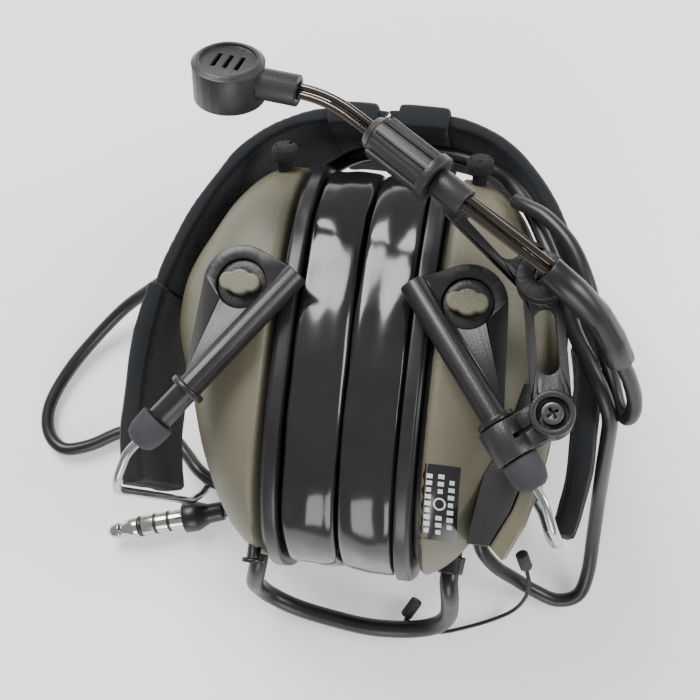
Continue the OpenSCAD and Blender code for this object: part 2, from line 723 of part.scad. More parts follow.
// Boom frame: origin on the boom's axis over the elbow, X towards the mouth
module boom_frame() {
    translate([boom_start[0], boom_start[1], boom_z]) rotate([0, 0, boom_angle]) children();
}
function boom_point(x) = boom_start + x * [cos(boom_angle), sin(boom_angle)];
saddle_w = 6.4;
module upper_link() {
    saddle = boom_point(body_from + 4.5);
    color(BLACK) difference() {
        union() {
            link_body(elbow_at, saddle, upper_low, upper_t, 5.6, saddle_w / 2 + 0.3);
            translate([elbow_at[0], elbow_at[1], upper_low + 0.05])
                cylinder(r = elbow_r, h = upper_t + 0.4);
            boom_frame() translate([body_from + 0.8, -saddle_w / 2, upper_low + 0.1 - boom_z])
                cube([7, saddle_w, boom_z - upper_low - 1]);
            boom_frame() rotate([0, 90, 0]) {
                translate([0, 0, body_from]) cylinder(r = grip_r, h = flange_from - body_from - part_gap);
                translate([0, 0, body_from]) cylinder(r = thread_r, h = boom_len - body_from - 4);
            }
        }
        boom_frame() translate([-10, 0, 0]) rotate([0, 90, 0]) cylinder(r = throat_r, h = 90);
        link_slot(elbow_at, saddle, upper_low, 0.36, 0.78, 2.7, 1.3);
        translate([elbow_at[0], elbow_at[1], 0]) cylinder(r = 2 + run_gap, h = 200);
    }
}
ribs = 10;
module collet_nut() {
    long = boom_len - flange_from;
    color(BLACK) boom_frame() translate([flange_from, 0, 0]) rotate([0, 90, 0]) difference() {
        union() {
            cylinder(r = nut_r, h = 2.2);
            cylinder(r = nut_r - 1.3, h = long - 2);
            translate([0, 0, long - 2.05]) cylinder(r1 = nut_r - 1.3, r2 = nut_r - 2.4, h = 2);
            for (i = [0:ribs - 1]) rotate([0, 0, i * 360 / ribs])
                translate([nut_r - 1.5, -0.7, 0]) cube([0.9, 1.4, long - 2.6]);
        }
        translate([0, 0, -1]) cylinder(r = thread_r + run_gap, h = long - 2.8);
        cylinder(r = throat_r, h = 40);
    }
}
module boom_rods() {
    color(STEEL) boom_frame() for (y = [-rod_gap, rod_gap]) {
        translate([-4, y, 0]) rotate([0, 90, 0]) cylinder(r = rod_r, h = boom_straight + 4, $fn = 24);
        translate([boom_straight, boom_bend_r, 0]) rotate([0, 0, -90])
            rotate_extrude(angle = boom_bend + 2) translate([boom_bend_r - y, 0]) circle(rod_r, $fn = 24);
    }
}

// Microphone head on the end of the boom
mic_tilt = 126;
neck_len = 18;
module mic_frame() {
    boom_frame() translate([boom_straight, boom_bend_r, 0]) rotate([0, 0, boom_bend])
        translate([0, -boom_bend_r, 0]) children();
}
module mic_head() {
    color(SATIN) mic_frame() difference() {
        union() {
            rotate([0, 90, 0]) cylinder(r = 3.9, h = neck_len - 5.6);
            translate([neck_len, 0, 0]) rotate([mic_tilt - 180, 0, 0]) rotate([90, 0, 0])
                mic_disc();
        }
        for (y = [-rod_gap, rod_gap]) translate([-1, y, 0]) rotate([0, 90, 0])
            cylinder(r = rod_r + 0.25, h = 4.5, $fn = 24);
    }
}
module mic_disc() {
    difference() {
        translate([0, 0, -mic_h / 2]) {
            cylinder(r = mic_r, h = mic_h - 1);
            translate([0, 0, mic_h - 1.05]) cylinder(r1 = mic_r, r2 = mic_r - 1.2, h = 1);
        }
        translate([0, 0, mic_h / 2 - 0.8]) cylinder(r = mic_r - 2, h = 2);
        translate([0, 0, -mic_h / 2 + 2]) cylinder(r = 5.2, h = mic_h - 4.4);
        for (x = [-3, 0, 3]) translate([x, 0, mic_h / 2]) cube([1.2, 6, 8], center = true);
    }
}
module mic_capsule() {
    color(STEEL) mic_frame() translate([neck_len, 0, 0]) rotate([mic_tilt - 180, 0, 0])
        rotate([90, 0, 0]) translate([0, 0, -mic_h / 2 + 2 + seat_gap]) cylinder(r = 4.8, h = 4);
}
module boom_tail_sleeve() {
    color(BLACK) difference() {
        lead(TAIL_ROUTE, 3.6, 12);
        boom_frame() for (y = [-rod_gap, rod_gap]) translate([-4.1, y, 0]) rotate([0, 90, 0])
            cylinder(r = rod_r + seat_gap, h = 12, $fn = 24);
    }
}

module link_lead() { color(BLACK) lead(LINK_ROUTE, link_d / 2); }
module plug_lead() { color(BLACK) lead(LEAD_ROUTE, lead_d / 2); }
module mic_lead() { color(BLACK) lead(MIC_ROUTE, mic_lead_d / 2); }
module tether() { color(BLACK) lead(TETHER_ROUTE, tether_d / 2); }

// Two small rubber plugs on the ends of the tether
module tether_caps() {
    color(BLACK) {
        bar([49.4, -57.8, 15.2], [47.6, -54, 18.8], 1.9);
        bar([14, -77.2, 3], [17, -72.2, 5], 1.9);
    }
}

// Four-contact plug, axis from the boot to the tip
plug_from = [-48, -52, 5];
plug_turn = 197;
module plug_frame() {
    translate(plug_from) rotate([0, 0, plug_turn]) rotate([0, 90, 0]) children();
}
boot_len = 13;
plug_r = 3.3;
module plug_boot() {
    color(BLACK) plug_frame() difference() {
        rotate_extrude() polygon([[0, 0], [3, 0], [3.2, 5], [4.9, 9], [4.9, boot_len], [0, boot_len]]);
        translate([0, 0, boot_len - 4]) cylinder(r = 2.4 + seat_gap, h = 5);
    }
}
module plug_body() {
    color("silver") plug_frame() translate([0, 0, boot_len]) rotate_extrude() polygon([
        [0, -4], [2.4, -4], [2.4, 0], [plug_r, 0], [plug_r, 14], [2.9, 14.4], [2.9, 15.2], [plug_r, 15.6],
        [plug_r, 18], [2.5, 20], [2.1, 21], [2.7, 22], [2.2, 24.5], [0.8, 26], [0, 26]
    ]);
}

left_shell();
left_rim();
left_baffle();
left_driver();
left_foam_liner();
left_cushion();
left_pivot_seats();
left_knobs();
left_foam_mic();
left_lead_gland();
left_jack_cap();
right_shell();
right_rim();
right_baffle();
right_driver();
right_cushion();
right_pivot_seats();
right_knobs();
right_foam_mic();
right_lead_glands();
circuit_board();
battery_cells();
battery_housing();
battery_door();
power_button();
volume_up_button();
volume_down_button();
left_front_guide();
left_rear_guide();
left_guide_caps();
right_front_guide();
right_rear_guide();
right_guide_caps();
crown_pin();
left_band();
left_spring_strips();
left_stirrup();
left_end_sleeve();
left_crown_pad();
right_band();
right_spring_strips();
right_stirrup();
right_end_sleeve();
right_crown_pad();
clamp_bracket();
clamp_screw();
elbow_rivet();
upper_link();
collet_nut();
boom_rods();
mic_head();
mic_capsule();
boom_tail_sleeve();
link_lead();
plug_lead();
mic_lead();
tether();
tether_caps();
plug_boot();
plug_body();
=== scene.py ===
"""Folded radio headset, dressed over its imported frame."""

import json
import logging
import math
from dataclasses import dataclass, field
from enum import Enum

import bmesh
import bpy
from mathutils import Matrix, Vector
from mathutils import noise as mnoise


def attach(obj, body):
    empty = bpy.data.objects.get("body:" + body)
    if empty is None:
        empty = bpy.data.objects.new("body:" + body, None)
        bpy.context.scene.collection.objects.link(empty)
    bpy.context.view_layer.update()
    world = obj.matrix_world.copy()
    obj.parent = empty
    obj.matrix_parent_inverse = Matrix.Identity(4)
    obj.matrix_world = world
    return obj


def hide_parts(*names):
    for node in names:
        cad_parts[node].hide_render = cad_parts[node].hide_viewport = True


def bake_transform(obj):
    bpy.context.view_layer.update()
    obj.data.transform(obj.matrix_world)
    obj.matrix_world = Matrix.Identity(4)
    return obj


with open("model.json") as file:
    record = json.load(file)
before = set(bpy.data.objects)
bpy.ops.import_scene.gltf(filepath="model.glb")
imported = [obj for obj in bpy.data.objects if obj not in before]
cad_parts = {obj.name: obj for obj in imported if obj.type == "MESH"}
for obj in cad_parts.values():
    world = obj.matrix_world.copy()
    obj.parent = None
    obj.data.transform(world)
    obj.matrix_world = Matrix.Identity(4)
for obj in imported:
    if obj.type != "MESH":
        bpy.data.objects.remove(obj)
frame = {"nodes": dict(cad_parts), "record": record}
log = logging.getLogger("headset")
MM = 0.001
NODES: dict[str, bpy.types.Object] = frame["nodes"]
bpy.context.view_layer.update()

# Sizes that repeat the part's own, in millimetres
CUP_Y = -8.0
Z_MID = 48.0
RIM_IN = 15.2
RIM_OUT = 19.7
CUP_W = 55.0
CUP_H = 114.0
CUP_D = 78.0
PIVOT = (29.0, CUP_Y + 13.5)
CROWN_Y = 60.9
SIDE_X = 60.7
FLAT = 11.64
SHELL = [
    (0.00, 0.985, -0.985, 0.970), (0.17, 0.985, -0.940, 0.975), (0.31, 0.965, -0.860, 0.955),
    (0.44, 0.905, -0.740, 0.925), (0.58, 0.800, -0.560, 0.860), (0.69, 0.665, -0.340, 0.770),
    (0.81, 0.540, -0.170, 0.640), (0.89, 0.450, -0.060, 0.510), (0.96, 0.340, 0.040, 0.330),
    (1.00, 0.240, 0.120, 0.120),
]


class Side(Enum):
    """A side of the headset, with its sign along X."""

    LEFT = -1
    RIGHT = 1

    @property
    def word(self) -> str:
        """The side's name as the nodes have it."""
        return self.name.lower()


class Grain(Enum):
    """What the fine surface of a finish looks like."""

    MOULDED = "moulded"
    SMOOTH = "smooth"
    FILM = "film"
    RUBBER = "rubber"
    FOAM = "foam"
    RIBBED = "ribbed"
    DRAWN = "drawn"


def mm(*values: float) -> Vector:
    """A point in metres from one in millimetres."""
    return Vector(values) * MM


def deselect() -> None:
    """Deselects every object."""
    bpy.ops.object.select_all(action="DESELECT")


def only(obj: bpy.types.Object) -> bpy.types.Object:
    """Selects one object alone and makes it active.

    Args:
        obj: The object to select.

    Returns:
        The same object.
    """
    deselect()
    obj.select_set(True)
    bpy.context.view_layer.objects.active = obj
    return obj


def settle(obj: bpy.types.Object) -> bpy.types.Object:
    """Moves an object's place into its mesh, so that it stands at the origin.

    Args:
        obj: The object, with any transform.

    Returns:
        The same object.
    """
    only(obj)
    bpy.ops.object.transform_apply(location=True, rotation=True, scale=True)
    return obj


def smooth(obj: bpy.types.Object, angle: float = 40.0) -> bpy.types.Object:
    """Shades a mesh smooth, with sharp edges over an angle in degrees."""
    only(obj)
    bpy.ops.object.shade_smooth_by_angle(angle=math.radians(angle))
    return obj


def modify(obj: bpy.types.Object, kind: str, **values: object) -> bpy.types.Object:
    """Adds a modifier, sets it and applies it.

    Args:
        obj: The object to change.
        kind: The modifier's type.
        values: Its settings.

    Returns:
        The same object.
    """
    only(obj)
    mod = obj.modifiers.new(kind.lower(), kind)
    for key, value in values.items():
        setattr(mod, key, value)
    bpy.ops.object.modifier_apply(modifier=mod.name)
    return obj


@dataclass(frozen=True)
class Finish:
    """A finish: two tones that a slow pattern mixes, and a fine grain."""

    name: str
    tone: tuple[float, float, float]
    worn: tuple[float, float, float]
    rough: float
    grain: Grain
    metallic: float = 0.0
    coat: float = 0.0
    sheen: float = 0.0
    grain_scale: float = 900.0
    bump: float = 0.15
    spread: float = 0.12

    def build(self) -> bpy.types.Material:
        """Makes the node material."""
        mat = bpy.data.materials.new(self.name)
        mat.use_nodes = True
        tree = mat.node_tree
        tree.nodes.clear()
        new, link = tree.nodes.new, tree.links.new
        out = new("ShaderNodeOutputMaterial")
        bsdf = new("ShaderNodeBsdfPrincipled")
        link(bsdf.outputs["BSDF"], out.inputs["Surface"])
        coord = new("ShaderNodeTexCoord")
        slow = new("ShaderNodeTexNoise")
        slow.inputs["Scale"].default_value = 70.0
        slow.inputs["Detail"].default_value = 6.0
        link(coord.outputs["Object"], slow.inputs["Vector"])
        ramp = new("ShaderNodeValToRGB")
        ramp.color_ramp.elements[0].position = 0.35
        ramp.color_ramp.elements[1].position = 0.75
        ramp.color_ramp.elements[0].color = (*self.tone, 1.0)
        ramp.color_ramp.elements[1].color = (*self.worn, 1.0)
        link(slow.outputs["Fac"], ramp.inputs["Fac"])
        link(ramp.outputs["Color"], bsdf.inputs["Base Color"])
        rough = new("ShaderNodeMapRange")
        rough.inputs["To Min"].default_value = max(0.02, self.rough - self.spread)
        rough.inputs["To Max"].default_value = min(1.0, self.rough + self.spread)
        link(slow.outputs["Fac"], rough.inputs["Value"])
        link(rough.outputs["Result"], bsdf.inputs["Roughness"])
        bump = new("ShaderNodeBump")
        bump.inputs["Strength"].default_value = self.bump
        bump.inputs["Distance"].default_value = 0.0003
        link(self.pattern(tree, coord), bump.inputs["Height"])
        link(bump.outputs["Normal"], bsdf.inputs["Normal"])
        bsdf.inputs["Metallic"].default_value = self.metallic
        bsdf.inputs["Coat Weight"].default_value = self.coat
        bsdf.inputs["Coat Roughness"].default_value = 0.08
        bsdf.inputs["Sheen Weight"].default_value = self.sheen
        bsdf.inputs["Sheen Roughness"].default_value = 0.5
        return mat

    def pattern(self, tree: bpy.types.NodeTree, coord: bpy.types.Node) -> bpy.types.NodeSocket:
        """The height of the fine grain.

        Args:
            tree: The material's node tree.
            coord: Its coordinates.

        Returns:
            The socket that gives the height.
        """
        new, link = tree.nodes.new, tree.links.new
        if self.grain in (Grain.FOAM, Grain.MOULDED):
            cells = new("ShaderNodeTexVoronoi")
            cells.inputs["Scale"].default_value = self.grain_scale
            link(coord.outputs["Object"], cells.inputs["Vector"])
            return cells.outputs["Distance"]
        if self.grain is Grain.RIBBED:
            ribs = new("ShaderNodeTexWave")
            ribs.wave_type = "BANDS"
            ribs.bands_direction = "Z"
            ribs.inputs["Scale"].default_value = self.grain_scale
            ribs.inputs["Distortion"].default_value = 0.6
            ribs.inputs["Detail"].default_value = 2.0
            weave = new("ShaderNodeTexNoise")
            weave.inputs["Scale"].default_value = 1500.0
            mix = new("ShaderNodeMath")
            mix.operation = "MULTIPLY_ADD"
            mix.inputs[1].default_value = 0.5
            link(coord.outputs["Object"], ribs.inputs["Vector"])
            link(coord.outputs["Object"], weave.inputs["Vector"])
            link(weave.outputs["Fac"], mix.inputs[0])
            link(ribs.outputs["Fac"], mix.inputs[2])
            return mix.outputs["Value"]
        grains = new("ShaderNodeTexNoise")
        grains.inputs["Scale"].default_value = self.grain_scale
        grains.inputs["Detail"].default_value = 3.0 if self.grain is Grain.RUBBER else 1.0
        link(coord.outputs["Object"], grains.inputs["Vector"])
        return grains.outputs["Fac"]


OLIVE = Finish("olive_plastic", (0.126, 0.118, 0.079), (0.140, 0.131, 0.089), 0.48, Grain.MOULDED,
               grain_scale=1500.0, bump=0.22, spread=0.05)
RIM = Finish("rim_plastic", (0.012, 0.012, 0.013), (0.018, 0.018, 0.020), 0.34, Grain.SMOOTH, bump=0.05)
GEL = Finish("gel_film", (0.011, 0.0095, 0.0095), (0.018, 0.015, 0.016), 0.17, Grain.FILM, coat=0.3,
             grain_scale=160.0, bump=0.25, spread=0.05)
BLACK = Finish("black_plastic", (0.016, 0.015, 0.016), (0.024, 0.023, 0.024), 0.42, Grain.MOULDED,
               grain_scale=1700.0, bump=0.12)
GUIDE = Finish("guide_plastic", (0.013, 0.012, 0.012), (0.019, 0.017, 0.017), 0.36, Grain.MOULDED,
               grain_scale=1900.0, bump=0.07)
CAP = Finish("dusty_rubber", (0.024, 0.024, 0.028), (0.060, 0.060, 0.068), 0.78, Grain.RUBBER,
             grain_scale=1400.0, bump=0.3)
FOAM = Finish("foam", (0.009, 0.009, 0.010), (0.016, 0.016, 0.018), 0.95, Grain.FOAM,
              grain_scale=1600.0, bump=0.9)
CLOTH = Finish("band_cloth", (0.003, 0.0042, 0.006), (0.006, 0.0085, 0.012), 0.92, Grain.RIBBED,
               sheen=0.08, grain_scale=230.0, bump=0.8)
WIRE = Finish("spring_wire", (0.52, 0.52, 0.53), (0.40, 0.40, 0.41), 0.24, Grain.DRAWN, metallic=1.0,
              grain_scale=700.0, bump=0.04)
SCREW = Finish("dark_screw", (0.10, 0.10, 0.11), (0.16, 0.16, 0.16), 0.35, Grain.DRAWN, metallic=0.9,
               bump=0.05)
ROD = Finish("gunmetal_rod", (0.10, 0.085, 0.075), (0.16, 0.135, 0.115), 0.15, Grain.SMOOTH,
             metallic=1.0, bump=0.02, spread=0.04)
LEAD = Finish("lead_jacket", (0.010, 0.010, 0.011), (0.017, 0.017, 0.019), 0.36, Grain.SMOOTH,
              grain_scale=500.0, bump=0.06)
BOARD = Finish("solder_mask", (0.01, 0.07, 0.03), (0.02, 0.10, 0.04), 0.35, Grain.SMOOTH, bump=0.05)
CELL = Finish("cell_wrap", (0.30, 0.30, 0.31), (0.38, 0.38, 0.38), 0.35, Grain.SMOOTH, metallic=0.6)
BRIGHT = Finish("contact_metal", (0.62, 0.60, 0.56), (0.50, 0.48, 0.45), 0.16, Grain.DRAWN, metallic=1.0,
                bump=0.03)
LABEL = Finish("label_film", (0.010, 0.010, 0.011), (0.014, 0.014, 0.015), 0.22, Grain.FILM, coat=0.4,
               grain_scale=300.0, bump=0.03)
PRINT = Finish("label_print", (0.62, 0.62, 0.62), (0.70, 0.70, 0.70), 0.40, Grain.SMOOTH, bump=0.03)
BY_SLOT = {
    "olive_shell": OLIVE, "rim_black": RIM, "gel_cushion": GEL, "black_plastic": BLACK,
    "guide_black": GUIDE, "cap_rubber": CAP, "foam": FOAM, "band_cloth": CLOTH,
    "spring_steel": WIRE, "screw_steel": SCREW, "rod_steel": ROD, "lead_rubber": LEAD,
    "board": BOARD, "cell": CELL, "plug_metal": BRIGHT, "driver_black": BLACK,
    "capsule_metal": BRIGHT,
}
MADE: dict[str, bpy.types.Material] = {}


def dress(obj: bpy.types.Object, finish: Finish) -> bpy.types.Object:
    """Gives a piece its finish."""
    if finish.name not in MADE:
        MADE[finish.name] = finish.build()
    obj.data.materials.clear()
    obj.data.materials.append(MADE[finish.name])
    return obj


@dataclass
class Route:
    """A line through given points, smoothed, in millimetres."""

    points: list[tuple[float, float, float]]
    steps: int = 6

    def line(self) -> list[Vector]:
        """The smoothed points in metres."""
        p = [mm(*q) for q in self.points]
        ends = [p[0] * 2 - p[1], *p, p[-1] * 2 - p[-2]]
        made = []
        for i in range(1, len(ends) - 2):
            a, b, c, d = ends[i - 1:i + 3]
            for k in range(self.steps):
                t = k / self.steps
                made.append(0.5 * (2 * b + (c - a) * t + (2 * a - 5 * b + 4 * c - d) * t * t
                                   + (3 * b - a - 3 * c + d) * t ** 3))
        return [*made, p[-1]]


def length_of(line: list[Vector]) -> float:
    """The length of a line of points."""
    return sum((b - a).length for a, b in zip(line, line[1:]))


def sweep(name: str, line: list[Vector], profile: list[tuple[float, float]] | None = None,
          radius: float = 0.0, upright: bool = False) -> bpy.types.Object:
    """Draws a curve through points, gives it a section and turns it into a mesh.

    Args:
        name: The new piece's name.
        line: The points, in metres.
        profile: The section's outline in metres, or None for a round one.
        radius: The round section's radius in metres.
        upright: Whether the section keeps its height along Z.

    Returns:
        The mesh.
    """
    deselect()
    bpy.ops.curve.primitive_bezier_curve_add()
    obj = bpy.context.object
    curve = obj.data
    curve.splines.clear()
    spline = curve.splines.new("POLY")
    spline.points.add(len(line) - 1)
    for point, place in zip(spline.points, line):
        point.co = (*place, 1.0)
    curve.dimensions = "3D"
    curve.twist_mode = "Z_UP" if upright else "MINIMUM"
    curve.use_fill_caps = True
    shape = None
    if profile:
        bpy.ops.curve.primitive_bezier_circle_add()
        shape = bpy.context.object
        shape.data.splines.clear()
        edge = shape.data.splines.new("POLY")
        edge.points.add(len(profile) - 1)
        for point, place in zip(edge.points, profile):
            point.co = (*place, 0.0, 1.0)
        edge.use_cyclic_u = True
        curve.bevel_mode = "OBJECT"
        curve.bevel_object = shape
    else:
        curve.bevel_depth = radius
        curve.bevel_resolution = 6
    only(obj)
    bpy.ops.object.convert(target="MESH")
    obj = bpy.context.object
    obj.name = obj.data.name = name
    if shape:
        bpy.data.objects.remove(shape)
    bpy.ops.object.mode_set(mode="EDIT")
    bpy.ops.mesh.select_all(action="SELECT")
    bpy.ops.mesh.remove_doubles(threshold=1e-6)
    bpy.ops.mesh.normals_make_consistent(inside=False)
    bpy.ops.object.mode_set(mode="OBJECT")
    return smooth(obj, 50)


def rounded_bar(thick: float, wide: float, round_by: float, k: int = 6) -> list[tuple[float, float]]:
    """The outline of a bar's section with round edges, in metres.

    Args:
        thick: Its thickness in millimetres.
        wide: Its width in millimetres.
        round_by: The radius of its edges in millimetres.
        k: Points on each corner.

    Returns:
        The outline's points.
    """
    made = []
    for sx, sy, start in ((1, 1, 0), (-1, 1, 90), (-1, -1, 180), (1, -1, 270)):
        cx, cy = sx * (thick / 2 - round_by), sy * (wide / 2 - round_by)
        for i in range(k):
            a = math.radians(start + 90 * i / (k - 1))
            made.append(((cx + round_by * math.cos(a)) * MM, (cy + round_by * math.sin(a)) * MM))
    return made


def ripple(obj: bpy.types.Object, size: float, depth: float, seed: float = 0.0) -> bpy.types.Object:
    """Moves each vertex along its normal by a slow noise.

    Args:
        obj: The mesh.
        size: The size of the waves in millimetres.
        depth: The most that a vertex moves, in millimetres.
        seed: Shifts the noise.

    Returns:
        The same object.
    """
    for v in obj.data.vertices:
        n = mnoise.noise(v.co / (size * MM) + Vector((seed, seed, seed)))
        v.co += v.normal * (n * depth * MM)
    obj.data.update()
    return obj


@dataclass
class Leads:
    """The four leads and the tether, as they lie."""

    link_d: float = 5.4
    lead_d: float = 4.2
    mic_d: float = 4.0
    tether_d: float = 1.2
    link: list = field(default_factory=lambda: [
        (-28, -61.6, 33), (-28, -64.4, 33), (-28.8, -68, 30.4), (-30.4, -71.6, 24), (-30.8, -73.4, 16),
        (-28, -76, 10), (-20, -79, 6), (-8, -81, 5), (4, -82, 5), (16, -81, 5.4), (24, -78.5, 8.6),
        (27.6, -75, 15), (28.4, -71, 24), (28.4, -67.8, 30.4), (28, -64.4, 33), (28, -61.6, 33)])
    lead: list = field(default_factory=lambda: [
        (35, -48.7, 22), (35, -51.6, 22), (36.4, -55, 19.6), (40.4, -58.8, 14.6), (46, -61.6, 9),
        (52.5, -64.6, 5), (59.5, -66.6, 3), (65.6, -64.2, 3.4), (67.8, -57, 7), (68, -46.6, 15.6),
        (67.8, -36, 30), (67.4, -28, 48), (67.2, -21.6, 61.6), (66.8, -17, 69.4), (64.4, -11.6, 74),
        (60.4, -4.6, 75.8), (55.6, 4, 75.6), (52, 14, 75.4), (47.6, 24, 74), (42.4, 34.6, 70.6),
        (37, 43, 66.4), (29.6, 50.2, 60), (17, 54.2, 58), (3, 55.2, 56), (-9, 54.8, 51),
        (-18.4, 53.2, 42), (-25.4, 50.8, 32.4), (-31.6, 47.6, 25.6), (-38, 43.4, 23), (-45, 38, 22.4),
        (-52.4, 32.8, 21.8), (-60.4, 27.8, 20.8), (-69.4, 22.8, 18.4), (-79, 17, 14.4),
        (-89.6, 10.4, 9), (-100, 0, 4.6), (-108.4, -12, 3), (-113, -24, 3), (-112, -33, 3),
        (-106, -38, 3), (-97, -36, 3), (-87, -30.6, 3), (-77, -28, 3), (-69, -30.4, 3.4),
        (-62.6, -35.4, 5.8), (-57, -40.2, 8.8), (-50.4, -43.6, 9), (-42.6, -42.8, 6.6),
        (-35, -39.8, 4.8), (-27.8, -39.6, 4.4), (-22.2, -43, 4.4), (-20.8, -49, 4.4),
        (-24.4, -54.2, 4.6), (-30.8, -55.4, 4.8), (-36.6, -52.8, 5), (-41, -50.9, 5), (-45.4, -51.2, 5),
        (-47.7, -51.9, 5)])
    mic: list = field(default_factory=lambda: [
        (67.2, -5.3, 89.6), (69.8, -8.4, 84), (71.9, -12.2, 77.4), (72.2, -15.4, 72.6),
        (70.8, -16.4, 69.8), (68.6, -13.2, 69.6), (66.4, -7, 71.6), (61, 6, 80), (57.4, 16, 82),
        (52.6, 25, 81.4), (46, 32, 79), (40.4, 35.6, 76), (37.6, 37.6, 73.4)])
    tether: list = field(default_factory=lambda: [
        (49.6, -58.8, 14.6), (50.6, -62.4, 13), (50, -66.6, 9.6), (47, -71, 4.4), (41.6, -74.6, 1),
        (34, -78, 1), (25, -81, 1), (18, -80.4, 1), (13.6, -78.2, 2.6)])

    def build(self) -> None:
        """Makes the leads and logs their lengths."""
        self.one("link_cable", self.link, self.link_d, "link_lead",
                 ("left_side", "right_arm"), (mm(-14, -80, 5), mm(14, -80, 5)))
        self.one("plug_cable", self.lead, self.lead_d, "plug_lead",
                 ("left_side", "right_arm"), (mm(-16, 53.4, 45), mm(17, 54.2, 58)))
        self.one("mic_cable", self.mic, self.mic_d, "mic_lead",
                 ("right_guides", "mic_bracket"), (mm(46, 32, 79), mm(69, -7, 86)))
        self.one("tether_cord", self.tether, self.tether_d, "tether", ("right_cup",), None)

    def one(self, name: str, points: list, d: float, node: str, bodies: tuple,
            over: tuple | None) -> None:
        """Makes one lead.

        Args:
            name: The piece's name.
            points: Its route in millimetres.
            d: Its diameter in millimetres.
            node: The CAD node that it stands for.
            bodies: The body that it rides on, or the two that it joins; only the first is read, and only
                when over is None.
            over: Where it meets the first body and where the second; only whether it is given is read,
                and a lead that has it stays unparented in world space.
        """
        line = Route(points).line()
        obj = sweep(name, line, radius=d / 2 * MM)
        dress(obj, LEAD)
        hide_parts(node)
        if over:
            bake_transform(obj)
        else:
            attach(obj, bodies[0])
        log.info("%s: %.0f mm", name, length_of(line) / MM)


